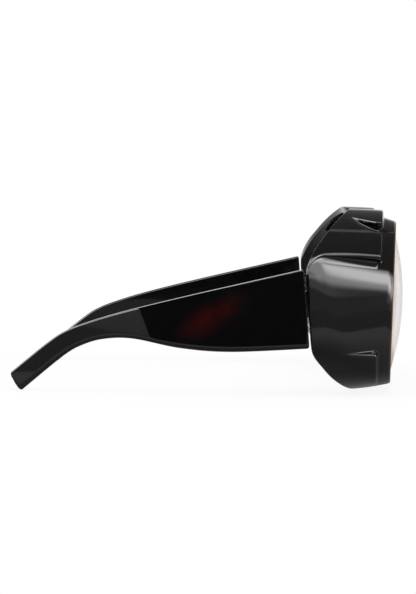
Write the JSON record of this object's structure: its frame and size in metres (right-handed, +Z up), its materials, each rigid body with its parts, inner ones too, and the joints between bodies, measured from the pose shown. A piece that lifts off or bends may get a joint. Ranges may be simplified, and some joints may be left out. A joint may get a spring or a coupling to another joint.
{
  "type": "novelty goggles",
  "caption": "Oversized round goggle-shaped sunglasses: deep lobed cups in one moulded front, pale domed lenses and wide folding temples.",
  "frame": {"origin": "on the table, under the middle of the box, with the temples open and the goggles standing on cup bottoms and temple tips", "axes": "+X to the wearer's left, -Y to the front where the lenses look, +Z up"},
  "size_m": [0.16, 0.173, 0.0816],
  "materials": {
    "black_plastic": "glossy moulded black",
    "lens_plastic": "clear, polished, faintly lavender",
    "hinge_metal": "nickel plated, satin",
    "fastener_steel": "turned steel"
  },
  "bodies": {
    "front": {"front_frame": "black_plastic", "lens_right": "lens_plastic", "lens_left": "lens_plastic", "hinge_front_leaf_right": "hinge_metal", "hinge_front_leaf_left": "hinge_metal", "hinge_screw_right": "fastener_steel", "hinge_screw_left": "fastener_steel", "front_rivet_upper_right": "fastener_steel", "front_rivet_lower_right": "fastener_steel", "front_rivet_upper_left": "fastener_steel", "front_rivet_lower_left": "fastener_steel"},
    "right_temple": {"temple_right": "black_plastic", "hinge_temple_leaf_right": "hinge_metal", "temple_rivet_upper_right": "fastener_steel", "temple_rivet_lower_right": "fastener_steel"},
    "left_temple": {"temple_left": "black_plastic", "hinge_temple_leaf_left": "hinge_metal", "temple_rivet_upper_left": "fastener_steel", "temple_rivet_lower_left": "fastener_steel"}
  },
  "joints": [
    {"name": "right_temple_fold", "type": "hinge", "parent": "front", "child": "right_temple", "pos_m": [-0.07209, -0.04254, 0.03963], "axis": [0, -0.0941, -0.9956], "range_deg": [0, 90]},
    {"name": "left_temple_fold", "type": "hinge", "parent": "front", "child": "left_temple", "pos_m": [0.07209, -0.04254, 0.03963], "axis": [0, 0.0941, 0.9956], "range_deg": [0, 83]}
  ]
}
